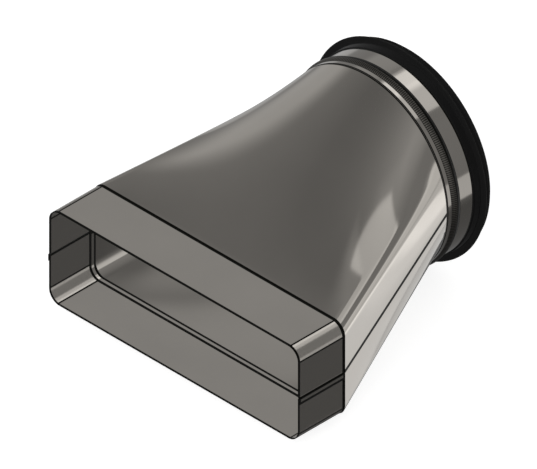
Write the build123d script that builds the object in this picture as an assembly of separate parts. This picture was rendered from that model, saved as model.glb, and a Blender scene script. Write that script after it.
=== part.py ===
from build123d import *
import os
from math import atan2, cos, degrees, pi, radians, sin, sqrt, tan

os.makedirs("parts", exist_ok=True)

# Duct transition piece in sheet steel: a flat rectangular socket changes to a round spigot with a
# rubber lip seal. The origin is the centre of the socket's mouth. +Y runs through the duct from the
# socket to the spigot, +X is across the socket and +Z is up. Millimetres.

# Sheet, and the gap that nested sheets need to slide together
sheet = 0.8
nest_gap = 0.1

# Socket, outside of the sheet
socket_width = 248.0
socket_height = 80.0
socket_depth = 44.5
socket_corner = 10.4

# Side laps, where the upper half of the socket is set out over the lower half
lap_height = 6.4
lap_set_length = 1.3
lap_clearance = 0.15

# Pressed shells between the socket and the spigot
shell_length = 147.0
shell_proud = 0.5
shell_set_length = 1.3
socket_tuck = 5.5
neck_set_length = 0.8
neck_tuck = 4.0

# Spigot, outside of the sheet
spigot_diameter = 160.0
spigot_length = 40.0
spigot_start_gap = 0.1

# Stop bead swaged into the spigot
bead_centre = 8.0
bead_width = 8.0
bead_height = 1.7
bead_foot_radius = 0.7

# Lip seal stretched over the end of the spigot
seal_slack = 0.05
seal_width = 16.0
seal_band = 1.1
seal_cap = 1.1
seal_edge_radius = 0.6
large_lip_reach = 5.7
large_lip_setback = 9.8
small_lip_reach = 2.2
small_lip_setback = 3.0
lip_root_width = 2.0
lip_tip_width = 0.9
lip_lean = 0.4
lip_root_radius = 0.5
lip_tip_radius = 0.4

# Places along the duct, from the socket's mouth
shell_start = socket_depth + shell_set_length
shell_end = socket_depth + shell_length
neck_start = shell_end + neck_set_length
neck_end = neck_start + neck_tuck
spigot_start = neck_start + spigot_start_gap
spigot_end = spigot_start + spigot_length
seal_end = spigot_end + seal_slack + seal_cap
seal_start = seal_end - seal_width

# The underside of the socket runs on level to the underside of the spigot
spigot_radius = spigot_diameter / 2
spigot_height = spigot_radius - socket_height / 2

# Where the upper half of the socket is set out over the lower one
lap_step = sheet + nest_gap
lap_angle = atan2(lap_step, lap_set_length)
lap_fall = lap_set_length * sheet / lap_step + sheet * tan(lap_angle / 2)
lower_half_top = -lap_fall - lap_clearance


def socket_half(inset, y, side, level):
    """Edges of half the socket's outline at y, set in by inset, from its right end at the height level
    round to its left end. side is 1 for the upper half and -1 for the lower."""
    reach = socket_width / 2 - inset
    rise = side * (socket_height / 2 - inset)
    corner = socket_corner - inset
    flat = reach - corner
    wall = rise - side * corner
    bow = corner * sqrt(0.5)
    crown = wall + side * bow
    return [
        Edge.make_line((reach, y, level), (reach, y, wall)),
        Edge.make_three_point_arc((reach, y, wall), (flat + bow, y, crown), (flat, y, rise)),
        Edge.make_line((flat, y, rise), (-flat, y, rise)),
        Edge.make_three_point_arc((-flat, y, rise), (-flat - bow, y, crown), (-reach, y, wall)),
        Edge.make_line((-reach, y, wall), (-reach, y, level)),
    ]


def ring_stops():
    """Angles round the spigot that the joints of socket_half run to. Each stretch takes the same share
    of the half circle as it has of the socket's half outline."""
    wall = socket_height / 2 - socket_corner
    corner = socket_corner * pi / 2
    half_outline = 2 * wall + 2 * corner + socket_width - 2 * socket_corner
    low = 180 * wall / half_outline
    high = 180 * (wall + corner) / half_outline
    return [0, low, high, 180 - high, 180 - low, 180]


def ring_half(radius, y, side):
    """Edges of half a circle round the spigot's axis, one for each stretch of socket_half."""

    def spot(angle):
        rise = side * radius * sin(radians(angle))
        return radius * cos(radians(angle)), y, spigot_height + rise

    stops = ring_stops()
    spans = zip(stops, stops[1:])
    return [Edge.make_three_point_arc(spot(a), spot((a + b) / 2), spot(b)) for a, b in spans]


def closed(edges):
    """An open run of edges closed by a straight line between its two ends."""
    return Wire(edges + [Edge.make_line(edges[-1] @ 1, edges[0] @ 0)])


def strip_face(outer, inner):
    """The face of a bent sheet between its outer and its inner line."""
    ends = [
        Edge.make_line(outer[0] @ 0, inner[0] @ 0),
        Edge.make_line(outer[-1] @ 1, inner[-1] @ 1),
    ]
    return Face(Wire(outer + inner + ends))


def shell_body(side, inset):
    """Half the transition as a filled body set in by inset: a rim that tucks into the socket, the
    skin that changes from the rectangle to the circle, and a rim that tucks into the spigot."""
    rim = sheet + nest_gap + inset
    sections = [
        socket_half(rim, socket_depth - socket_tuck, side, 0),
        socket_half(rim, socket_depth, side, 0),
        socket_half(inset - shell_proud, shell_start, side, 0),
        ring_half(spigot_radius - inset, shell_end, side),
        ring_half(spigot_radius - rim, neck_start, side),
        ring_half(spigot_radius - rim, neck_end, side),
    ]
    return Solid.make_loft([closed(edges) for edges in sections], ruled=True)


def transition_shell(side):
    """One pressed shell, open at both ends. The two shells meet edge to edge along the side seams."""
    return shell_body(side, 0) - shell_body(side, sheet)


def lapped_outline(inset):
    """The upper half of the socket's outline with both ends set out for the side laps."""
    fall = inset * tan(lap_angle / 2)
    reach = socket_width / 2 - inset
    step = reach + lap_step
    leg = [(step, -lap_height), (step, -lap_set_length - fall), (reach, -fall)]
    right = Polyline(*[(x, 0, z) for x, z in leg]).edges()
    left = Polyline(*[(-x, 0, z) for x, z in reversed(leg)]).edges()
    return [*right, *socket_half(inset, 0, 1, -fall), *left]


def upper_socket_half():
    """The upper channel of the socket, whose legs lap outside the lower channel."""
    return extrude(strip_face(lapped_outline(0), lapped_outline(sheet)), socket_depth, (0, 1, 0))


def lower_socket_half():
    """The lower channel of the socket, whose legs end inside the laps."""
    outer = socket_half(0, 0, -1, lower_half_top)
    inner = socket_half(sheet, 0, -1, lower_half_top)
    return extrude(strip_face(outer, inner), socket_depth, (0, 1, 0))


def turned(face):
    """A face drawn with radius along X and place along Y, turned round the spigot's axis."""
    ring = revolve(face, Axis.Y)
    return Pos(0, 0, spigot_height) * ring


def spigot_line(inset):
    """The spigot's outline with its stop bead, set in by inset. Foot and crest arcs run into each
    other without a corner."""
    radius = spigot_radius - inset
    half_width = bead_width / 2
    arcs = (half_width**2 + bead_height**2) / (2 * bead_height)
    sweep = degrees(atan2(half_width, arcs - bead_height))
    crest_radius = arcs - bead_foot_radius
    middle = spigot_start + bead_centre
    start, end = middle - half_width, middle + half_width
    foot_x = spigot_radius + bead_foot_radius
    crest_x = spigot_radius + bead_height - crest_radius
    foot = bead_foot_radius + inset
    return [
        Line((radius, spigot_start), (radius, start)).edge(),
        CenterArc((foot_x, start), foot, 180, -sweep).edge(),
        CenterArc((crest_x, middle), crest_radius - inset, -sweep, 2 * sweep).edge(),
        CenterArc((foot_x, end), foot, 180 + sweep, -sweep).edge(),
        Line((radius, end), (radius, spigot_end)).edge(),
    ]


def round_spigot():
    """The rolled and swaged ring that a round duct slides over."""
    return turned(strip_face(spigot_line(0), spigot_line(sheet)))


def lip_corners(band, reach, setback):
    """Corners of one sealing lip with their radii: near root, near tip, far tip and far root."""
    tip = band + reach
    near_tip = seal_end - setback - lip_tip_width / 2
    near_root = near_tip + lip_lean
    return [
        (band, near_root, lip_root_radius),
        (tip, near_tip, lip_tip_radius),
        (tip, near_tip + lip_tip_width, lip_tip_radius),
        (band, near_root + lip_root_width, lip_root_radius),
    ]


def lip_seal():
    """The rubber seal: a band on the spigot, a cap over its cut edge, and two lips that lean back."""
    bore = spigot_radius + seal_slack
    band = bore + seal_band
    cap_bore = spigot_radius - sheet + seal_slack
    seat = spigot_end + seal_slack
    outline = [
        (bore, seal_start, 0),
        (band, seal_start, seal_edge_radius),
        *lip_corners(band, large_lip_reach, large_lip_setback),
        *lip_corners(band, small_lip_reach, small_lip_setback),
        (band, seal_end, seal_edge_radius),
        (cap_bore, seal_end, 0),
        (cap_bore, seat, 0),
        (bore, seat, 0),
    ]
    points = [(x, y) for x, y, radius in outline]
    radii = [radius for x, y, radius in outline]
    return turned(make_face(FilletPolyline(*points, radius=radii, close=True)))


def write(shape, name):
    """Write one sub-part as a STEP file named after its node."""
    shape.label = name
    export_step(shape, f"parts/{name}.step")


write(upper_socket_half(), "upper_socket_half")
write(lower_socket_half(), "lower_socket_half")
write(transition_shell(1), "upper_transition_shell")
write(transition_shell(-1), "lower_transition_shell")
write(round_spigot(), "round_spigot")
write(lip_seal(), "lip_seal")
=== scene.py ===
"""Looks of a sheet steel duct transition piece: a flat rectangular socket, two pressed shells that
change it into a round spigot with a stop bead, and a rubber lip seal.

Lengths are metres in the part's own frame. The origin is the centre of the socket's mouth, +Y runs
through the duct from the socket to the spigot, +X is across the socket and +Z is up. Angles are
degrees.
"""

import logging
import math
from dataclasses import dataclass
from enum import Enum

import bmesh
import bpy
from mathutils import Matrix, Vector

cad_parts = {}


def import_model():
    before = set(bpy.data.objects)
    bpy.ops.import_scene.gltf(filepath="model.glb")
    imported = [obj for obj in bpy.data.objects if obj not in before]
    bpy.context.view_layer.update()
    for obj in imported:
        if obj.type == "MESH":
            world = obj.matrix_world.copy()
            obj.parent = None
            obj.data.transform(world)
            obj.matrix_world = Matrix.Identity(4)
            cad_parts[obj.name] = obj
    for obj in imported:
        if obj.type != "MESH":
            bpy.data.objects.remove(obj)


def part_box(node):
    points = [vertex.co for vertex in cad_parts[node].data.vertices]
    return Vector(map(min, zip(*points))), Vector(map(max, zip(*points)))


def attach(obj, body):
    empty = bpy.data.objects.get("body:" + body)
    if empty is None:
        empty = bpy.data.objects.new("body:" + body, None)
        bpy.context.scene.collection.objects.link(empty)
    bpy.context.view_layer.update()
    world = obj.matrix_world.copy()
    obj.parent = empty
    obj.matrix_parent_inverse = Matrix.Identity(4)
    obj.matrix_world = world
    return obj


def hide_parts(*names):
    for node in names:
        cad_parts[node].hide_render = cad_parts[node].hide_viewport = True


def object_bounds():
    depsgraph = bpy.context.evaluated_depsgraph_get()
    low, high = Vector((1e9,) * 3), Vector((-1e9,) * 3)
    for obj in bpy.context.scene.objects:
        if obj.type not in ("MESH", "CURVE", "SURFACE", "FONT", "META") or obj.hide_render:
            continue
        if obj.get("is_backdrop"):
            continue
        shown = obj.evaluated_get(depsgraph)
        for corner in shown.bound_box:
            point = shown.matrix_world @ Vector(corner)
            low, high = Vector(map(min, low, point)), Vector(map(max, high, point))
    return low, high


LOG = logging.getLogger("duct_transition")
BODY = "root"
MM = 0.001

Point = tuple[float, float, float]
Colour = tuple[float, float, float, float]
Mesh = bmesh.types.BMesh
# A socket of a shader node.
Wire = bpy.types.NodeSocket
Value = float | Point | Colour | Wire

ACROSS: Point = (1.0, 0.0, 0.0)
ALONG: Point = (0.0, 1.0, 0.0)
UP: Point = (0.0, 0.0, 1.0)
WHITE: Colour = (1.0, 1.0, 1.0, 1.0)

# The floor lies this far under the part.
FLOOR_GAP = 0.3 * MM
# Vertices that are closer than this become one.
SAME_PLACE = 1e-7
# Edges sharper than this, in degrees, are cut edges.
CUT_ANGLE = 82.0
# Directions that rise less than this don't meet the ceiling.
HORIZON = 0.02


class Side(Enum):
    """The upper or the lower half of a piece that is pressed in two halves."""

    UPPER = 1
    LOWER = -1


class Slot(Enum):
    """Two material slot names, for steel and rubber."""

    STEEL = "sheet_steel"
    RUBBER = "seal_rubber"


@dataclass(frozen=True)
class Noise:
    """A noise pattern: its frequency in 1 over metre, its finer layers, their weight, and factors
    for x, y and z, of which a small one draws the pattern out along that axis."""

    scale: float
    detail: float
    roughness: float
    stretch: Point | None = None


@dataclass(frozen=True)
class Relief:
    """How strongly a pattern stands out from a surface, and how far."""

    strength: float
    distance: float


class Graph:
    """Adds nodes to one node tree and wires them up."""

    def __init__(self, tree: bpy.types.NodeTree) -> None:
        """Take over a tree and empty it.

        Args:
            tree: The material's or world's node tree.
        """
        self.tree = tree
        tree.nodes.clear()

    def feed(self, socket: Wire, value: Value) -> None:
        """Link a socket to another one, or set it to a plain value.

        Args:
            socket: The input to fill.
            value: An output socket, a number, a vector or a colour.
        """
        if isinstance(value, Wire):
            self.tree.links.new(value, socket)
        else:
            socket.default_value = value

    def add(
        self, kind: str, inputs: dict[str, Value] | tuple[Value, ...] = (), **settings: object
    ) -> bpy.types.Node:
        """Add a node.

        Args:
            kind: The node's type name.
            inputs: Values or links for its inputs, by name or in order from the first.
            settings: Properties of the node itself.

        Returns:
            The new node.
        """
        node = self.tree.nodes.new(kind)
        for name, setting in settings.items():
            setattr(node, name, setting)
        for key, value in inputs.items() if isinstance(inputs, dict) else enumerate(inputs):
            self.feed(node.inputs[key], value)
        return node

    def math(self, operation: str, *values: Value, clamp: bool = False) -> Wire:
        """Add a Math node.

        Args:
            operation: What it does, such as "ADD".
            values: Its operands in order.
            clamp: Whether the result is kept between 0 and 1.

        Returns:
            The socket with the result.
        """
        node = self.add("ShaderNodeMath", values, operation=operation, use_clamp=clamp)
        return node.outputs["Value"]

    def window(self, distance: Value, half_width: float, edge: float) -> Wire:
        """Add a soft-edged window: 1 up to half_width and 0 from half_width + edge on.

        Args:
            distance: The distance from the window's middle, which may be negative.
            half_width: Where the window begins to fade.
            edge: The width of the fade.

        Returns:
            The socket with the mask.
        """
        inputs = {
            "Value": self.math("ABSOLUTE", distance),
            "From Min": half_width,
            "From Max": half_width + edge,
            "To Min": 1.0,
            "To Max": 0.0,
        }
        node = self.add("ShaderNodeMapRange", inputs, interpolation_type="SMOOTHSTEP")
        return node.outputs["Result"]

    def spread(self, value: Value, low: float, high: float) -> Wire:
        """Bring a value between 0 and 1 into the range from low to high.

        Args:
            value: The socket to read.
            low: The result at 0.
            high: The result at 1.

        Returns:
            The socket with the result.
        """
        inputs = {"Value": value, "To Min": low, "To Max": high}
        return self.add("ShaderNodeMapRange", inputs).outputs["Result"]

    def noise(self, vector: Value, pattern: Noise) -> Wire:
        """Add a noise texture.

        Args:
            vector: Where it is read.
            pattern: Its settings.

        Returns:
            The socket with its value.
        """
        if pattern.stretch:
            inputs = {"Vector": vector, "Scale": pattern.stretch}
            vector = self.add("ShaderNodeMapping", inputs).outputs["Vector"]
        inputs = {"Vector": vector, "Scale": pattern.scale, "Detail": pattern.detail}
        node = self.add("ShaderNodeTexNoise", {**inputs, "Roughness": pattern.roughness})
        return node.outputs["Fac"]

    def radius(self, position: Value, axis_height: float) -> Wire:
        """Measure how far a point lies from the spigot's axis.

        Args:
            position: The point.
            axis_height: How high the axis lies.

        Returns:
            The socket with the distance.
        """
        parts = self.parts(position)
        height = self.math("SUBTRACT", parts["Z"], axis_height)
        spot = self.add("ShaderNodeCombineXYZ", {"X": parts["X"], "Z": height}).outputs["Vector"]
        return self.add("ShaderNodeVectorMath", (spot,), operation="LENGTH").outputs["Value"]

    def tint(self, share: Value, first: Value, second: Value) -> Wire:
        """Mix two colours.

        Args:
            share: How much of the second colour shows.
            first: The colour at 0.
            second: The colour at 1.

        Returns:
            The socket with the mixed colour.
        """
        node = self.add("ShaderNodeMix", data_type="RGBA")
        sockets = [socket for socket in node.inputs if socket.type == "RGBA"]
        self.feed(node.inputs[0], share)
        self.feed(sockets[0], first)
        self.feed(sockets[1], second)
        return next(socket for socket in node.outputs if socket.type == "RGBA")

    def parts(self, vector: Value) -> bpy.types.bpy_prop_collection:
        """Split a vector into sockets named X, Y and Z."""
        return self.add("ShaderNodeSeparateXYZ", {"Vector": vector}).outputs

    def background(self, strength: Value) -> Wire:
        """Add a white background shader."""
        node = self.add("ShaderNodeBackground", {"Color": WHITE, "Strength": strength})
        return node.outputs["Background"]

    def rays(self) -> tuple[Wire, Wire]:
        """Add the masks that tell what looks at a point.

        Returns:
            One that is 1 for the camera, and one that is 1 for metal or a clear thing.
        """
        rays = self.add("ShaderNodeLightPath").outputs
        mirrored = self.math("MAXIMUM", rays["Is Glossy Ray"], rays["Is Transmission Ray"])
        return rays["Is Camera Ray"], mirrored

    def surface(self, inputs: dict[str, Value], height: Value, relief: Relief) -> None:
        """Add the material's shader and output.

        Args:
            inputs: Values or links for the shader's inputs, by name.
            height: The pattern of the surface's relief.
            relief: How that pattern stands out.
        """
        bumps = {"Strength": relief.strength, "Distance": relief.distance, "Height": height}
        normal = self.add("ShaderNodeBump", bumps).outputs["Normal"]
        shader = self.add("ShaderNodeBsdfPrincipled", {**inputs, "Normal": normal})
        self.add("ShaderNodeOutputMaterial", {"Surface": shader.outputs["BSDF"]})


def blank_material(name: str) -> tuple[bpy.types.Material, Graph]:
    """Make a material without nodes.

    Args:
        name: Its name.

    Returns:
        The material and its graph.
    """
    made = bpy.data.materials.new(name)
    made.use_nodes = True
    return made, Graph(made.node_tree)


@dataclass(frozen=True)
class Mark:
    """A thin dark line of painted shade where sheet is cut, bent or joined, with the darker cut
    face
    of the sheet at cut edges: what lies within half_width of a plane.

    The plane holds the points whose product with normal is place. A mirrored mark counts x from
    the middle to both sides. A mark with a reach lies only where x is between its two distances
    from the middle.
    """

    normal: Point
    place: float
    half_width: float
    mirrored: bool = False
    reach: tuple[float, float] | None = None
    edge: float = 0.15 * MM
    reach_edge: float = 0.05 * MM

    def mask(self, graph: Graph, position: Value) -> Wire:
        """Work out how much of the mark lies on a point.

        Args:
            graph: The material's graph.
            position: The point.

        Returns:
            The socket with the mask.
        """
        if self.mirrored:
            folded = graph.add("ShaderNodeVectorMath", (position,), operation="ABSOLUTE")
            position = folded.outputs["Vector"]
        pair = (position, self.normal)
        product = graph.add("ShaderNodeVectorMath", pair, operation="DOT_PRODUCT")
        distance = graph.math("SUBTRACT", product.outputs["Value"], self.place)
        inside = graph.window(distance, self.half_width, self.edge)
        if self.reach:
            near, far = self.reach
            across = graph.math("ABSOLUTE", graph.parts(position)["X"])
            offset = graph.math("SUBTRACT", across, (near + far) / 2)
            between = graph.window(offset, (far - near) / 2, self.reach_edge)
            inside = graph.math("MULTIPLY", inside, between)
        return inside


@dataclass(frozen=True)
class Hatch:
    """Painted bead shade: fine strokes across a band round the spigot. Their darkness swings about
    a level.
    """

    place: float
    half_width: float
    axis_height: float
    strokes: float = 320.0
    level: float = 0.8526
    swing: float = 0.1274
    edge: float = 0.3 * MM

    def mask(self, graph: Graph, position: Value) -> Wire:
        """Work out how much of a stroke lies on a point.

        Args:
            graph: The material's graph.
            position: The point.

        Returns:
            The socket with the mask.
        """
        parts = graph.parts(position)
        height = graph.math("SUBTRACT", parts["Z"], self.axis_height)
        angle = graph.math("ARCTAN2", height, parts["X"])
        wave = graph.math("SINE", graph.math("MULTIPLY", angle, self.strokes))
        stroke = graph.math("MULTIPLY_ADD", wave, self.swing, self.level)
        offset = graph.math("SUBTRACT", parts["Y"], self.place)
        band = graph.window(offset, self.half_width, self.edge)
        return graph.math("MULTIPLY", band, stroke)


@dataclass(frozen=True)
class Corner:
    """The bent corners of the socket, beyond reach and rise, where the sheet is a little duller."""

    reach: float
    rise: float

    def mask(self, graph: Graph, position: Value) -> Wire:
        """Work out whether a point lies in a corner.

        Args:
            graph: The material's graph.
            position: The point.

        Returns:
            The socket with the mask, which is 1 in a corner.
        """
        parts = graph.parts(position)
        across = graph.math("GREATER_THAN", graph.math("ABSOLUTE", parts["X"]), self.reach)
        upright = graph.math("GREATER_THAN", graph.math("ABSOLUTE", parts["Z"]), self.rise)
        return graph.math("MULTIPLY", across, upright)


@dataclass(frozen=True)
class RolledSteel:
    """Bright rolled sheet: a satin mirror with faint smudges, fine grain along the duct and thin
    lines of painted shade where it is cut, bent or joined, with darker cut edges.

    Round pieces keep their marks outside of inner_radius. The smudges take the roughness from
    smooth to satin, the painted shade lines take a higher roughness of their own and bent corners
    bent. Smudges and clouds that add up to more than balance make the sheet dull.
    """

    name: str
    marks: tuple[Mark | Hatch, ...]
    corner: Corner | None = None
    inner_radius: float = 0.0
    axis_height: float = 0.0
    bright: Colour = (0.345, 0.325, 0.298, 1.0)
    dull: Colour = (0.312, 0.295, 0.271, 1.0)
    shade_line: Colour = (0.005, 0.005, 0.004, 1.0)
    smooth: float = 0.05
    satin: float = 0.10
    line_roughness: float = 0.55
    bent: float = 0.21
    balance: float = 0.5
    smudges: Noise = Noise(22.0, 4.0, 0.55)
    clouds: Noise = Noise(7.0, 2.0, 0.5)
    grain: Noise = Noise(1500.0, 2.0, 0.6, (1.0, 0.06, 1.0))
    grain_share: float = 0.03
    relief: Relief = Relief(0.07, 0.02 * MM)

    def material(self) -> bpy.types.Material:
        """Make the material.

        Returns:
            The new material.
        """
        made, graph = blank_material(self.name)
        position = graph.add("ShaderNodeTexCoord").outputs["Object"]
        smudge = graph.noise(position, self.smudges)
        cloud = graph.noise(position, self.clouds)
        grain = graph.noise(position, self.grain)
        marks = self.marked(graph, position)
        patchy = graph.math("ADD", smudge, cloud)
        patchy = graph.math("SUBTRACT", patchy, self.balance, clamp=True)
        # Painted shade: the marks darken the sheet to near black along bends, gaps and joints, and
        # at cut edges.
        colour = graph.tint(marks, graph.tint(patchy, self.bright, self.dull), self.shade_line)
        gloss = graph.spread(smudge, self.smooth, self.satin)
        fine = graph.math("MULTIPLY_ADD", grain, self.grain_share, gloss)
        rough = graph.math("MAXIMUM", fine, graph.math("MULTIPLY", marks, self.line_roughness))
        if self.corner:
            bent = graph.math("MULTIPLY", self.corner.mask(graph, position), self.bent)
            rough = graph.math("MAXIMUM", rough, bent)
        inputs = {"Base Color": colour, "Metallic": 1.0, "Roughness": rough}
        graph.surface(inputs, grain, self.relief)
        return made

    def marked(self, graph: Graph, position: Value) -> Wire:
        """Add the masks of all marks.

        Args:
            graph: The material's graph.
            position: The point.

        Returns:
            The socket with the strongest mask.
        """
        total = self.marks[0].mask(graph, position)
        for mark in self.marks[1:]:
            total = graph.math("MAXIMUM", total, mark.mask(graph, position))
        if self.inner_radius:
            radius = graph.radius(position, self.axis_height)
            outside = graph.math("GREATER_THAN", radius, self.inner_radius)
            total = graph.math("MULTIPLY", total, outside)
        return total


@dataclass(frozen=True)
class SealRubber:
    """Moulded black rubber with a fine skin and lip tips that are scuffed a little paler.

    The scuffs fade out over tip_fade, from tip_width each side of tip_radius on. Patches take the
    roughness from smooth to satin.
    """

    name: str
    axis_height: float
    tip_radius: float
    tip_width: float = 0.2 * MM
    tip_fade: float = 0.9 * MM
    black: Colour = (0.002, 0.002, 0.002, 1.0)
    scuffed: Colour = (0.008, 0.008, 0.0075, 1.0)
    smooth: float = 0.42
    satin: float = 0.58
    sheen: float = 0.11
    skin: Noise = Noise(900.0, 3.0, 0.6)
    patches: Noise = Noise(60.0, 3.0, 0.5)
    relief: Relief = Relief(0.15, 0.05 * MM)

    def material(self) -> bpy.types.Material:
        """Make the material.

        Returns:
            The new material.
        """
        made, graph = blank_material(self.name)
        position = graph.add("ShaderNodeTexCoord").outputs["Object"]
        radius = graph.radius(position, self.axis_height)
        offset = graph.math("SUBTRACT", radius, self.tip_radius)
        tip = graph.window(offset, self.tip_width, self.tip_fade)
        skin = graph.noise(position, self.skin)
        patch = graph.noise(position, self.patches)
        scuff = graph.math("MULTIPLY", tip, patch, clamp=True)
        inputs = {
            "Base Color": graph.tint(scuff, self.black, self.scuffed),
            "Roughness": graph.spread(patch, self.smooth, self.satin),
            "Specular IOR Level": self.sheen,
        }
        graph.surface(inputs, skin, self.relief)
        return made


class Pen:
    """Draws an open line of vertices in a bmesh, on from its last point."""

    def __init__(self, bm: Mesh, start: Point) -> None:
        """Set the pen down.

        Args:
            bm: The mesh to draw in.
            start: The first point.
        """
        self.bm = bm
        self.tip = bmesh.ops.create_vert(bm, co=start)["vert"][0]
        self.first = self.tip
        self.verts = [self.tip]

    def line(self, end: Point, steps: int = 1, hold: float = 0.0) -> None:
        """Draw a straight line.

        Args:
            end: Its far end.
            steps: The number of equal edges in it.
            hold: The length of a short edge at each end, which keeps the stretch between them flat
                beside a bend. 0 leaves these edges out.
        """
        start, end = self.tip.co.copy(), Vector(end)
        shares = [(k + 1) / steps for k in range(steps)]
        if hold:
            share = hold / (end - start).length
            shares = [share, *(s for s in shares if share < s < 1 - share), 1 - share, 1.0]
        for share in shares:
            self.tip = bmesh.ops.extrude_vert_indiv(self.bm, verts=[self.tip])["verts"][0]
            bmesh.ops.translate(self.bm, verts=[self.tip], vec=start.lerp(end, share) - self.tip.co)
            self.verts.append(self.tip)

    def arc(self, centre: Point, axis: Point, angle: float, steps: int) -> None:
        """Draw an arc.

        Args:
            centre: The arc's centre.
            axis: The direction it turns about.
            angle: How far it turns, in degrees.
            steps: The number of edges in it.
        """
        step = math.radians(angle / steps)
        for _ in range(steps):
            turned = bmesh.ops.spin(
                self.bm, geom=[self.tip], cent=centre, axis=axis, angle=step, steps=1
            )
            self.tip = next(v for v in turned["geom_last"] if isinstance(v, bmesh.types.BMVert))
            self.verts.append(self.tip)

    def edges(self) -> list[bmesh.types.BMEdge]:
        """The line's edges in order."""
        pairs = zip(self.verts, self.verts[1:])
        return [edge for edge in map(self.bm.edges.get, pairs) if edge]


def face_outwards(bm: Mesh, axis_height: float) -> None:
    """Turn the faces of an open skin round the duct so that they look away from its axis.

    Args:
        bm: The mesh.
        axis_height: How high the duct's axis lies.
    """
    bmesh.ops.remove_doubles(bm, verts=bm.verts, dist=SAME_PLACE)
    bmesh.ops.recalc_face_normals(bm, faces=bm.faces)
    middle = Vector((0.0, 0.0, axis_height))
    score = 0.0
    for face in bm.faces:
        arm = face.calc_center_median() - middle
        arm.y = 0.0
        score += face.normal.dot(arm) * face.calc_area()
    if score < 0:
        bmesh.ops.reverse_faces(bm, faces=bm.faces)


def piece_from(bm: Mesh, name: str, crease: float = 28.0) -> bpy.types.Object:
    """Make a smooth-shaded object of a finished mesh.

    Args:
        bm: The mesh, which is freed.
        name: The object's name.
        crease: Edges sharper than this, in degrees, stay sharp.

    Returns:
        The new object, in the scene.
    """
    mesh = bpy.data.meshes.new(name)
    bm.to_mesh(mesh)
    bm.free()
    mesh.shade_smooth()
    mesh.set_sharp_from_angle(angle=math.radians(crease))
    piece = bpy.data.objects.new(name, mesh)
    bpy.context.scene.collection.objects.link(piece)
    return piece


def turn_round(bm: Mesh, geom: list, axis_height: float, steps: int) -> None:
    """Turn a line all the way round the spigot's axis.

    Args:
        bm: The mesh.
        geom: The line's vertices and edges.
        axis_height: How high the axis lies.
        steps: The number of steps in the whole turn.
    """
    bmesh.ops.spin(
        bm,
        geom=geom,
        cent=(0.0, 0.0, axis_height),
        axis=ALONG,
        angle=2 * math.pi,
        steps=steps,
        use_merge=True,
    )


def thicken(bm: Mesh, sheet: float, chamfer: float) -> None:
    """Give a skin the sheet's thickness inwards and break its cut edges.

    Args:
        bm: The mesh, with its faces looking outwards.
        sheet: The sheet's thickness.
        chamfer: How far the cut edges are broken.
    """
    bmesh.ops.solidify(bm, geom=list(bm.faces), thickness=sheet)
    bm.normal_update()
    sharp = math.radians(CUT_ANGLE)
    cut = [edge for edge in bm.edges if edge.calc_face_angle(0.0) > sharp]
    bmesh.ops.bevel(
        bm,
        geom=cut,
        offset=chamfer,
        offset_type="OFFSET",
        affect="EDGES",
        segments=1,
        profile=0.5,
        material=-1,
    )


def dress(
    piece: bpy.types.Object, finish: RolledSteel | SealRubber, node: str
) -> None:
    """Give a piece its finish and put it in the place of its solid.

    Args:
        piece: The piece.
        finish: What it is finished with.
        node: The solid that the piece stands for.
    """
    piece.data.materials.append(finish.material())
    piece.visible_glossy = False
    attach(piece, BODY)
    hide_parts(node)
    LOG.info("%s: %d faces, stands for %s", piece.name, len(piece.data.polygons), node)


@dataclass(frozen=True)
class Sizes:
    """The main sizes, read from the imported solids, and the sheet's own."""

    reach: float
    rise: float
    depth: float
    lap_step: float
    lap_height: float
    tuck_start: float
    neck_end: float
    spigot_start: float
    spigot_end: float
    axis_height: float
    seal_start: float
    seal_end: float
    seal_reach: float
    sheet: float = 0.8 * MM
    nest: float = 0.1 * MM
    corner: float = 10.4 * MM
    proud: float = 0.5 * MM
    spigot_radius: float = 80.0 * MM

    @classmethod
    def read(cls) -> "Sizes":
        """Read the sizes from the frame.

        Returns:
            The sizes.
        """
        upper_low, upper_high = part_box("upper_socket_half")
        lower_low, lower_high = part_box("lower_socket_half")
        shell_low, shell_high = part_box("upper_transition_shell")
        ring_low, ring_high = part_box("round_spigot")
        seal_low, seal_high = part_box("lip_seal")
        return cls(
            reach=lower_high.x,
            rise=upper_high.z,
            depth=upper_high.y,
            lap_step=upper_high.x - lower_high.x,
            lap_height=-upper_low.z,
            tuck_start=shell_low.y,
            neck_end=shell_high.y,
            spigot_start=ring_low.y,
            spigot_end=ring_high.y,
            axis_height=(ring_low.z + ring_high.z) / 2,
            seal_start=seal_low.y,
            seal_end=seal_high.y,
            seal_reach=(seal_high.z - seal_low.z) / 2,
        )


@dataclass(frozen=True)
class SocketLines:
    """The painted shade lines of the socket: their half widths, and how far some lie off the true
    bend.
    """

    mouth: float = 1.5 * MM
    low_mouth: float = 1.15 * MM
    back: float = 1.05 * MM
    bend: float = 0.6 * MM
    bend_shift: float = 1.7 * MM
    wall_bend: float = 0.65 * MM
    low_outside_shift: float = 2.2 * MM
    low_inside_shift: float = 0.3 * MM
    lap_bend: float = 0.9 * MM
    lap_bend_shift: float = 0.5 * MM
    lap_end: float = 2.1 * MM
    low_top: float = 0.9 * MM
    low_top_shift: float = 0.1 * MM


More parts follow.
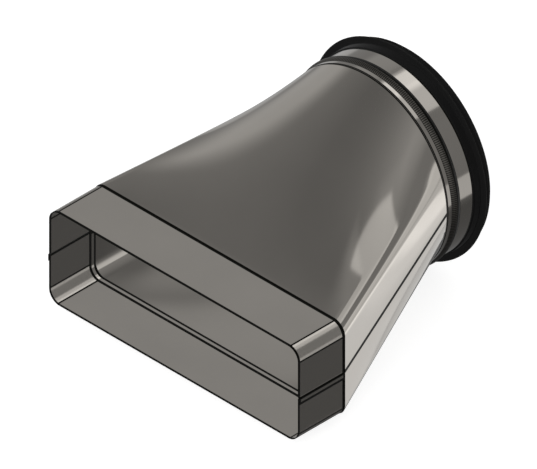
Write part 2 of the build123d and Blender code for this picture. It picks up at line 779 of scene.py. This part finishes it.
@dataclass
class Socket:
    """The rectangular socket: two channels whose legs lap at the sides."""

    sizes: Sizes
    lap_run: float = 1.3 * MM
    lap_play: float = 0.15 * MM
    hold: float = 0.3 * MM
    corner_steps: int = 24
    chamfer: float = 0.08 * MM
    lines: SocketLines = SocketLines()

    def lower_top(self) -> float:
        """Work out where the lower channel's legs end, just under the step at the lap.

        Returns:
            The height.
        """
        s = self.sizes
        slope = math.atan2(s.lap_step, self.lap_run)
        drop = self.lap_run * s.sheet / s.lap_step + s.sheet * math.tan(slope / 2)
        return -drop - self.lap_play

    def channel(self, side: Side, foot: float, legs: tuple[tuple[float, float], ...]) -> Mesh:
        """Draw one channel's outside line and draw it out along the duct.

        Args:
            side: Which channel.
            foot: The height at which the straight walls begin.
            legs: Points of the right leg before the wall, from its cut end on, as x and z.

        Returns:
            The channel with its sheet thickness.
        """
        s = self.sizes
        rise = side.value * s.rise
        wall = rise - side.value * s.corner
        flat = s.reach - s.corner
        turn = (0.0, -side.value, 0.0)
        bm = bmesh.new()
        run = [*legs, (s.reach, foot)]
        pen = Pen(bm, (run[0][0], 0.0, run[0][1]))
        for x, z in run[1:]:
            pen.line((x, 0.0, z))
        pen.line((s.reach, 0.0, wall), hold=self.hold)
        pen.arc((flat, 0.0, wall), turn, 90.0, self.corner_steps)
        pen.line((-flat, 0.0, rise), hold=self.hold)
        pen.arc((-flat, 0.0, wall), turn, 90.0, self.corner_steps)
        pen.line((-s.reach, 0.0, foot), hold=self.hold)
        for x, z in reversed(run[:-1]):
            pen.line((-x, 0.0, z))
        drawn = bmesh.ops.extrude_edge_only(bm, edges=pen.edges())["geom"]
        moved = [v for v in drawn if isinstance(v, bmesh.types.BMVert)]
        bmesh.ops.translate(bm, verts=moved, vec=(0.0, s.depth, 0.0))
        face_outwards(bm, 0.0)
        thicken(bm, s.sheet, self.chamfer)
        return bm

    def upper(self) -> bpy.types.Object:
        """Build the upper channel, whose legs are set out over the lower one."""
        s = self.sizes
        step = s.reach + s.lap_step
        legs = ((step, -s.lap_height), (step, -self.lap_run))
        return piece_from(self.channel(Side.UPPER, 0.0, legs), "socket_upper_channel")

    def lower(self) -> bpy.types.Object:
        """Build the lower channel, whose legs end inside the laps."""
        return piece_from(self.channel(Side.LOWER, self.lower_top(), ()), "socket_lower_channel")

    def build(self) -> None:
        """Build and dress both channels."""
        s, lines = self.sizes, self.lines
        flat, wall = s.reach - s.corner, s.rise - s.corner
        skin = s.reach - s.sheet / 2
        outside, inside = (skin, s.reach + s.sheet), (0.0, skin)
        # Painted shade lines: along the bends and laps, at the back joint and beside the mouth's
        # darker cut edge.
        back = Mark(ALONG, s.depth, lines.back)
        bend = Mark(ACROSS, flat + lines.bend_shift, lines.bend, mirrored=True)
        corner = Corner(flat + lines.bend_shift, wall)
        upper_marks = (
            Mark(ALONG, 0.0, lines.mouth),
            back,
            bend,
            Mark(UP, wall, lines.wall_bend),
            Mark(UP, -self.lap_run / 2 - lines.lap_bend_shift, lines.lap_bend),
            Mark(UP, -s.lap_height, lines.lap_end),
        )
        lower_marks = (
            Mark(ALONG, 0.0, lines.low_mouth),
            back,
            bend,
            Mark(UP, -wall - lines.low_outside_shift, lines.wall_bend, reach=outside),
            Mark(UP, -wall + lines.low_inside_shift, lines.wall_bend, reach=inside),
            Mark(UP, self.lower_top() - lines.low_top_shift, lines.low_top),
        )
        upper = RolledSteel("steel_socket_upper", upper_marks, corner)
        lower = RolledSteel("steel_socket_lower", lower_marks, corner)
        dress(self.upper(), upper, "upper_socket_half")
        dress(self.lower(), lower, "lower_socket_half")


@dataclass
class Transition:
    """The two pressed shells that change from the rectangle to the circle, with rims that tuck into
    the socket and into the spigot."""

    sizes: Sizes
    set_run: float = 1.3 * MM
    neck_run: float = 0.8 * MM
    wall_steps: int = 16
    corner_steps: int = 16
    flat_steps: int = 128
    length_cuts: int = 47
    chamfer: float = 0.06 * MM
    tuck_line: float = 1.6 * MM
    step_line: float = 1.4 * MM
    step_shift: float = 0.1 * MM
    neck_line: float = 0.9 * MM
    neck_shift: float = 0.3 * MM
    seam_line: float = 1.5 * MM

    def skin_start(self) -> float:
        """Where the slanting skin begins."""
        return self.sizes.depth + self.set_run

    def skin_end(self) -> float:
        """Where the slanting skin ends."""
        return self.sizes.spigot_start - self.sizes.nest - self.neck_run

    def rectangle(self, bm: Mesh, y: float, inset: float, side: Side) -> Pen:
        """Draw half the socket's outline, from its right end round to its left end.

        Args:
            bm: The mesh to draw in.
            y: The place along the duct.
            inset: How far the outline is set in from the socket's.
            side: Which half.

        Returns:
            The pen that drew it.
        """
        s = self.sizes
        reach, corner = s.reach - inset, s.corner - inset
        rise = side.value * (s.rise - inset)
        wall, flat = rise - side.value * corner, reach - corner
        turn = (0.0, -side.value, 0.0)
        pen = Pen(bm, (reach, y, 0.0))
        pen.line((reach, y, wall), self.wall_steps)
        pen.arc((flat, y, wall), turn, 90.0, self.corner_steps)
        pen.line((-flat, y, rise), self.flat_steps)
        pen.arc((-flat, y, wall), turn, 90.0, self.corner_steps)
        pen.line((-reach, y, 0.0), self.wall_steps)
        return pen

    def circle(self, bm: Mesh, y: float, radius: float, side: Side) -> Pen:
        """Draw half a circle round the spigot's axis. Each stretch takes the same share of it as
        it has of the socket's half outline.

        Args:
            bm: The mesh to draw in.
            y: The place along the duct.
            radius: The circle's radius.
            side: Which half.

        Returns:
            The pen that drew it.
        """
        s = self.sizes
        wall, corner, flat = s.rise - s.corner, s.corner * math.pi / 2, 2 * (s.reach - s.corner)
        whole = 2 * wall + 2 * corner + flat
        centre, turn = (0.0, y, s.axis_height), (0.0, -side.value, 0.0)
        pen = Pen(bm, (radius, y, s.axis_height))
        for length, steps in (
            (wall, self.wall_steps),
            (corner, self.corner_steps),
            (flat, self.flat_steps),
            (corner, self.corner_steps),
            (wall, self.wall_steps),
        ):
            pen.arc(centre, turn, 180.0 * length / whole, steps)
        return pen

    def shell(self, side: Side) -> bpy.types.Object:
        """Build one shell.

        Args:
            side: Which shell.

        Returns:
            The shell with its sheet thickness.
        """
        s = self.sizes
        rim = s.sheet + s.nest
        bm = bmesh.new()
        lines = [
            self.rectangle(bm, s.tuck_start, rim, side),
            self.rectangle(bm, s.depth, rim, side),
            self.rectangle(bm, self.skin_start(), -s.proud, side),
            self.circle(bm, self.skin_end(), s.spigot_radius, side),
            self.circle(bm, self.skin_end() + self.neck_run, s.spigot_radius - rim, side),
            self.circle(bm, s.neck_end, s.spigot_radius - rim, side),
        ]
        skin = []
        for near, far in zip(lines, lines[1:]):
            bridged = bmesh.ops.bridge_loops(bm, edges=near.edges() + far.edges())
            if near is lines[2]:
                skin = bridged["edges"]
        bmesh.ops.subdivide_edges(bm, edges=skin, cuts=self.length_cuts, use_grid_fill=True)
        face_outwards(bm, s.axis_height / 2)
        thicken(bm, s.sheet, self.chamfer)
        return piece_from(bm, f"transition_{side.name.lower()}_shell")

    def build(self) -> None:
        """Build and dress both shells."""
        s = self.sizes
        run = self.skin_end() - self.skin_start()
        slope = Vector((0.0, -s.axis_height / run, 1.0))
        scale = slope.length
        start = slope.y / scale * self.skin_start()
        # Painted shade lines: at the rim's cut edge, along the step and the neck, and along the
        # seam between the shells.
        marks = (
            Mark(ALONG, s.tuck_start, self.tuck_line),
            Mark(ALONG, s.depth - self.step_shift, self.step_line),
            Mark(ALONG, self.skin_end() + self.neck_shift, self.neck_line),
            Mark(tuple(slope / scale), start, self.seam_line),
        )
        for side in Side:
            finish = RolledSteel(f"steel_shell_{side.name.lower()}", marks)
            dress(self.shell(side), finish, f"{side.name.lower()}_transition_shell")


@dataclass
class Spigot:
    """The rolled ring with the stop bead swaged into it."""

    sizes: Sizes
    bead_centre: float = 8.0 * MM
    bead_half: float = 4.0 * MM
    bead_height: float = 1.7 * MM
    foot_radius: float = 0.7 * MM
    hold: float = 0.3 * MM
    foot_steps: int = 6
    crest_steps: int = 20
    turns: int = 240
    chamfer: float = 0.08 * MM
    end_line: float = 0.5 * MM
    hatch_line: float = 2.0 * MM
    hatch_shift: float = 2.3 * MM
    bead_line: float = 2.2 * MM
    bead_shift: float = 2.05 * MM
    seal_line: float = 1.0 * MM

    def ring(self) -> bpy.types.Object:
        """Build the ring.

        Returns:
            The ring with its sheet thickness.
        """
        s = self.sizes
        radius = s.spigot_radius
        arcs = (self.bead_half**2 + self.bead_height**2) / (2 * self.bead_height)
        sweep = math.degrees(math.atan2(self.bead_half, arcs - self.bead_height))
        middle = s.spigot_start + self.bead_centre
        start, end = middle - self.bead_half, middle + self.bead_half
        crest = radius + self.bead_height - (arcs - self.foot_radius)
        bm = bmesh.new()
        pen = Pen(bm, (radius, s.spigot_start, s.axis_height))
        pen.line((radius, start, s.axis_height), hold=self.hold)
        pen.arc((radius + self.foot_radius, start, s.axis_height), UP, -sweep, self.foot_steps)
        pen.arc((crest, middle, s.axis_height), UP, 2 * sweep, self.crest_steps)
        pen.arc((radius + self.foot_radius, end, s.axis_height), UP, -sweep, self.foot_steps)
        pen.line((radius, s.spigot_end, s.axis_height), hold=self.hold)
        turn_round(bm, pen.verts + pen.edges(), s.axis_height, self.turns)
        face_outwards(bm, s.axis_height)
        thicken(bm, s.sheet, self.chamfer)
        return piece_from(bm, "spigot_ring")

    def build(self) -> None:
        """Build and dress the ring."""
        s = self.sizes
        bead = s.spigot_start + self.bead_centre
        # Painted shade: lines at the ring's cut end and the seal's edge, with hatched and solid
        # shade on the bead.
        marks = (
            Mark(ALONG, s.spigot_start, self.end_line),
            Hatch(bead - self.hatch_shift, self.hatch_line, s.axis_height),
            Mark(ALONG, bead + self.bead_shift, self.bead_line),
            Mark(ALONG, s.seal_start, self.seal_line),
        )
        inner = s.spigot_radius - s.sheet / 2
        finish = RolledSteel("steel_spigot", marks, inner_radius=inner, axis_height=s.axis_height)
        dress(self.ring(), finish, "round_spigot")


@dataclass(frozen=True)
class Lip:
    """One sealing lip: its reach out from the band and its setback from the seal's end."""

    reach: float
    setback: float
    root_width: float = 2.0 * MM
    tip_width: float = 0.9 * MM
    lean: float = 0.4 * MM
    root_round: float = 0.5 * MM
    tip_round: float = 0.4 * MM

    def corners(self, band: float, end: float) -> list[tuple[float, float, float]]:
        """The lip's four corners.

        Args:
            band: The radius that it stands on.
            end: Where the seal ends.

        Returns:
            Radius, place along the duct and rounding of each corner.
        """
        near = end - self.setback - self.tip_width / 2
        return [
            (band, near + self.lean, self.root_round),
            (band + self.reach, near, self.tip_round),
            (band + self.reach, near + self.tip_width, self.tip_round),
            (band, near + self.lean + self.root_width, self.root_round),
        ]


@dataclass
class LipSeal:
    """The rubber seal: a band on the spigot, a cap over its cut edge and two lips."""

    sizes: Sizes
    slack: float = 0.05 * MM
    band: float = 1.1 * MM
    edge_round: float = 0.6 * MM
    large: Lip = Lip(5.7 * MM, 9.8 * MM)
    small: Lip = Lip(2.2 * MM, 3.0 * MM)
    round_steps: int = 4
    turns: int = 240
    crease: float = 35.0

    def ring(self) -> bpy.types.Object:
        """Build the ring.

        Returns:
            The seal.
        """
        s = self.sizes
        bore = s.spigot_radius + self.slack
        band = bore + self.band
        cap_bore = s.spigot_radius - s.sheet + self.slack
        seat = s.spigot_end + self.slack
        corners = [
            (bore, s.seal_start, 0.0),
            (band, s.seal_start, self.edge_round),
            *self.large.corners(band, s.seal_end),
            *self.small.corners(band, s.seal_end),
            (band, s.seal_end, self.edge_round),
            (cap_bore, s.seal_end, 0.0),
            (cap_bore, seat, 0.0),
            (bore, seat, 0.0),
        ]
        bm = bmesh.new()
        pen = Pen(bm, (corners[0][0], corners[0][1], s.axis_height))
        for radius, y, _ in corners[1:]:
            pen.line((radius, y, s.axis_height))
        bmesh.ops.contextual_create(bm, geom=[pen.tip, pen.first])
        for vert, (_, _, rounding) in zip(list(pen.verts), corners):
            if rounding:
                bmesh.ops.bevel(
                    bm,
                    geom=[vert],
                    offset=rounding,
                    offset_type="OFFSET",
                    affect="VERTICES",
                    segments=self.round_steps,
                    profile=0.5,
                    material=-1,
                )
        turn_round(bm, list(bm.verts) + list(bm.edges), s.axis_height, self.turns)
        bmesh.ops.remove_doubles(bm, verts=bm.verts, dist=SAME_PLACE)
        bmesh.ops.recalc_face_normals(bm, faces=bm.faces)
        return piece_from(bm, "seal_ring", self.crease)

    def build(self) -> None:
        """Build and dress the seal."""
        finish = SealRubber("moulded_rubber", self.sizes.axis_height, self.sizes.seal_reach)
        dress(self.ring(), finish, "lip_seal")


@dataclass(frozen=True)
class Bearing:
    """The direction that the world is seen in, as sockets: its azimuth and elevation in degrees,
    and where it meets a ceiling one unit up, with a mask that is 1 above the horizon."""

    azimuth: Wire
    elevation: Wire
    ceiling_x: Wire
    ceiling_y: Wire
    upward: Wire

    @classmethod
    def read(cls, graph: Graph) -> "Bearing":
        """Add the nodes that work the direction out.

        Args:
            graph: The world's graph.

        Returns:
            The direction.
        """
        parts = graph.parts(graph.add("ShaderNodeTexCoord").outputs["Generated"])
        rise = graph.math("MAXIMUM", parts["Z"], HORIZON)
        return cls(
            azimuth=graph.math("DEGREES", graph.math("ARCTAN2", parts["X"], parts["Y"])),
            elevation=graph.math("DEGREES", graph.math("ARCSINE", parts["Z"])),
            ceiling_x=graph.math("DIVIDE", parts["X"], rise),
            ceiling_y=graph.math("DIVIDE", parts["Y"], rise),
            upward=graph.math("GREATER_THAN", parts["Z"], HORIZON),
        )


@dataclass(frozen=True)
class CeilingPanel:
    """A flat light panel on the ceiling, measured at one unit above the part.

    lean shifts it along x for each unit of y, and bow shifts it along y for each unit of x squared.
    """

    x_range: tuple[float, float]
    y_range: tuple[float, float]
    strength: float
    x_edge: float = 0.02
    y_edge: float = 0.02
    lean: float = 0.0
    bow: float = 0.0

    def glow(self, graph: Graph, bearing: Bearing) -> Wire:
        """Work out how bright the panel is in a direction.

        Args:
            graph: The world's graph.
            bearing: The direction.

        Returns:
            The socket with the brightness.
        """
        x, y = bearing.ceiling_x, bearing.ceiling_y
        across = graph.math("MULTIPLY_ADD", y, -self.lean, x)
        along = graph.math("MULTIPLY_ADD", graph.math("MULTIPLY", x, x), -self.bow, y)
        lit = bearing.upward
        for place, (low, high), edge in (
            (across, self.x_range, self.x_edge),
            (along, self.y_range, self.y_edge),
        ):
            shifted = graph.math("SUBTRACT", place, (low + high) / 2)
            lit = graph.math("MULTIPLY", lit, graph.window(shifted, (high - low) / 2, edge))
        return graph.math("MULTIPLY", lit, self.strength)


@dataclass(frozen=True)
class Softbox:
    """A light panel, placed by the direction in which the part sees it. Azimuth is counted from +Y
    towards +X."""

    azimuth: float
    elevation: float
    half_width: float
    half_height: float
    strength: float
    edge: float = 4.0

    def glow(self, graph: Graph, bearing: Bearing) -> Wire:
        """Work out how bright the panel is in a direction.

        Args:
            graph: The world's graph.
            bearing: The direction.

        Returns:
            The socket with the brightness.
        """
        turned = graph.math("SUBTRACT", bearing.azimuth, self.azimuth)
        turned = graph.math("WRAP", turned, 180.0, -180.0)
        across = graph.window(turned, self.half_width, self.edge)
        raised = graph.math("SUBTRACT", bearing.elevation, self.elevation)
        along = graph.window(raised, self.half_height, self.edge)
        return graph.math("MULTIPLY", graph.math("MULTIPLY", across, along), self.strength)


Panel = Softbox | CeilingPanel


@dataclass
class Studio:
    """The floor, the light and the camera."""

    floor_height: float
    windows: tuple[Panel, ...] = (
        CeilingPanel((-0.30, 0.325), (0.145, 0.95), 0.97, x_edge=0.04, lean=0.22, bow=0.80),
        CeilingPanel((-0.43, -0.16), (0.62, 1.0), 1.0, x_edge=0.04),
        Softbox(36.0, -2.8, 8.0, 15.2, 0.86, 3.0),
        Softbox(50.0, -20.0, 6.0, 8.8, 1.0, 1.5),
        Softbox(15.0, -31.0, 12.0, 12.0, 1.0, 1.5),
        Softbox(-7.5, -39.5, 8.0, 3.5, 0.98, 2.5),
    )
    lamps: tuple[Panel, ...] = (
        CeilingPanel((-0.43, -0.10), (0.62, 1.0), 0.84, x_edge=0.15),
        CeilingPanel((-0.12, 0.50), (0.62, 1.0), 0.22, x_edge=0.04),
        CeilingPanel((0.75, 1.75), (0.12, 0.16), 0.33, x_edge=1.15, y_edge=0.78),
        Softbox(36.0, 3.2, 8.0, 8.2, 0.34, 3.0),
        Softbox(37.0, 13.0, 6.0, 2.0, 0.16, 6.0),
        Softbox(29.0, -13.5, 2.5, 3.0, 0.28, 3.0),
        Softbox(23.5, -23.0, 4.0, 4.5, 0.27, 3.0),
        Softbox(58.0, 66.0, 8.0, 8.0, 0.06, 10.0),
        Softbox(15.0, -31.0, 12.0, 12.0, 0.28, 1.5),
        Softbox(20.5, -24.5, 6.5, 6.5, 0.28, 4.0),
        Softbox(24.5, -22.5, 2.5, 4.5, 0.28, 3.0),
        Softbox(-50.0, 67.0, 7.0, 6.0, 0.21, 18.0),
        Softbox(-84.0, 14.0, 9.0, 11.0, 0.42, 16.0),
        Softbox(-47.0, 33.0, 8.0, 8.0, 0.20, 9.0),
        Softbox(-54.0, -14.0, 5.0, 8.0, 0.25, 6.0),
        Softbox(180.0, 35.0, 40.0, 20.0, 1.0, 8.0),
        Softbox(120.0, 5.0, 18.0, 25.0, 0.9, 8.0),
        Softbox(-130.0, -5.0, 18.0, 20.0, 0.8, 8.0),
    )
    tones: tuple[tuple[float, float], ...] = (
        (-90.0, 0.16),
        (-36.0, 0.16),
        (-30.0, 0.24),
        (-10.0, 0.38),
        (36.0, 0.42),
        (50.0, 0.35),
        (62.0, 0.29),
        (90.0, 0.29),
    )
    look_at: Point = (0.02097, 0.07315, 0.05218)
    towards_camera: Point = (1.0, -1.0, 1.0)
    camera_distance: float = 1.2
    view_width: float = 0.3772
    floor_half: float = 6.0
    floor_centre: float = 0.1
    floor_grey: Colour = (0.5, 0.5, 0.5, 1.0)
    floor_glow: float = 0.82

    def light(self) -> None:
        """Make the world. The camera sees its white background. Metal and clear things mirror it
        too, through the windows of a graded grey wall with lamps, which light the part."""
        world = bpy.data.worlds.new("studio")
        bpy.context.scene.world = world
        world.use_nodes = True
        world.cycles.sampling_method = "NONE"
        graph = Graph(world.node_tree)
        bearing = Bearing.read(graph)
        camera, mirrored = graph.rays()
        wall = graph.background(self.wall(graph, bearing.elevation))
        opening = graph.math("MINIMUM", self.glow(graph, bearing, self.windows), 1.0)
        shown = graph.math("MULTIPLY_ADD", mirrored, opening, camera)
        mixed = graph.add("ShaderNodeMixShader", (shown, wall, graph.background(1.0)))
        unseen = graph.math("SUBTRACT", 1.0, camera)
        power = graph.math("MULTIPLY", self.glow(graph, bearing, self.lamps), unseen)
        pair = (mixed.outputs["Shader"], graph.background(power))
        whole = graph.add("ShaderNodeAddShader", pair)
        graph.add("ShaderNodeOutputWorld", {"Surface": whole.outputs["Shader"]})

    def glow(self, graph: Graph, bearing: Bearing, panels: tuple[Panel, ...]) -> Wire:
        """Add up the brightness of some panels in a direction.

        Args:
            graph: The world's graph.
            bearing: The direction.
            panels: The panels.

        Returns:
            The socket with the sum.
        """
        total = panels[0].glow(graph, bearing)
        for panel in panels[1:]:
            total = graph.math("ADD", total, panel.glow(graph, bearing))
        return total

    def wall(self, graph: Graph, elevation: Value) -> Wire:
        """Add the graded wall, whose brightness changes with height.

        Args:
            graph: The world's graph.
            elevation: The direction's elevation, in degrees.

        Returns:
            The socket with the brightness.
        """
        inputs = {"Value": elevation, "From Min": -90.0, "From Max": 90.0}
        place = graph.add("ShaderNodeMapRange", inputs).outputs["Result"]
        ramp = graph.add("ShaderNodeValToRGB", {"Fac": place})
        stops = ramp.color_ramp.elements
        while len(stops) < len(self.tones):
            stops.new(0.5)
        for stop, (angle, level) in zip(stops, self.tones):
            stop.position = (angle + 90.0) / 180.0
            stop.color = (level, level, level, 1.0)
        return ramp.outputs["Color"]

    def floor(self) -> None:
        """Make the pale floor. From above the camera sees it white, with the part's shadow on it,
        and from below it is clear."""
        bm = bmesh.new()
        place = Matrix.Translation((0.0, self.floor_centre, self.floor_height))
        bmesh.ops.create_grid(bm, x_segments=1, y_segments=1, size=self.floor_half, matrix=place)
        floor = piece_from(bm, "floor")
        made, graph = blank_material("pale_floor")
        camera, mirrored = graph.rays()
        paint = graph.add("ShaderNodeBsdfDiffuse", {"Color": self.floor_grey}).outputs["BSDF"]
        glow = graph.add("ShaderNodeEmission", {"Color": WHITE, "Strength": self.floor_glow})
        pale = graph.add("ShaderNodeAddShader", (paint, glow.outputs["Emission"]))
        seen = graph.math("MAXIMUM", camera, mirrored)
        above = graph.add("ShaderNodeMixShader", (seen, paint, pale.outputs["Shader"]))
        clear = graph.add("ShaderNodeBsdfTransparent", {"Color": WHITE}).outputs["BSDF"]
        below = graph.add("ShaderNodeNewGeometry").outputs["Backfacing"]
        sheer = graph.add("ShaderNodeMixShader", (below, above.outputs["Shader"], clear))
        graph.add("ShaderNodeOutputMaterial", {"Surface": sheer.outputs["Shader"]})
        floor.data.materials.append(made)
        floor.visible_glossy = False
        floor.visible_shadow = False
        floor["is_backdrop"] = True

    def camera(self) -> None:
        """Set up the camera at the photograph's angle, with no perspective."""
        data = bpy.data.cameras.new("camera")
        data.type = "ORTHO"
        data.ortho_scale = self.view_width
        camera = bpy.data.objects.new("camera", data)
        bpy.context.scene.collection.objects.link(camera)
        back = Vector(self.towards_camera).normalized()
        camera.location = Vector(self.look_at) + back * self.camera_distance
        camera.rotation_mode = "QUATERNION"
        camera.rotation_quaternion = (-back).to_track_quat("-Z", "Y")
        bpy.context.scene.camera = camera

    def build(self) -> None:
        """Build the whole studio."""
        self.light()
        self.floor()
        self.camera()
        bpy.context.scene.view_settings.view_transform = "Standard"
        LOG.info("studio: %d windows, %d lamps", len(self.windows), len(self.lamps))


def corners(box: tuple[Vector, Vector]) -> list[list[float]]:
    """A box's two corners as plain lists."""
    return [list(corner) for corner in box]


def main() -> None:
    """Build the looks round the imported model."""
    logging.basicConfig(level=logging.INFO, format="%(name)s: %(message)s")
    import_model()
    before = corners(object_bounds())
    sizes = Sizes.read()
    Studio(before[0][2] - FLOOR_GAP).build()
    Socket(sizes).build()
    Transition(sizes).build()
    Spigot(sizes).build()
    LipSeal(sizes).build()


if __name__ == "__main__":
    main()
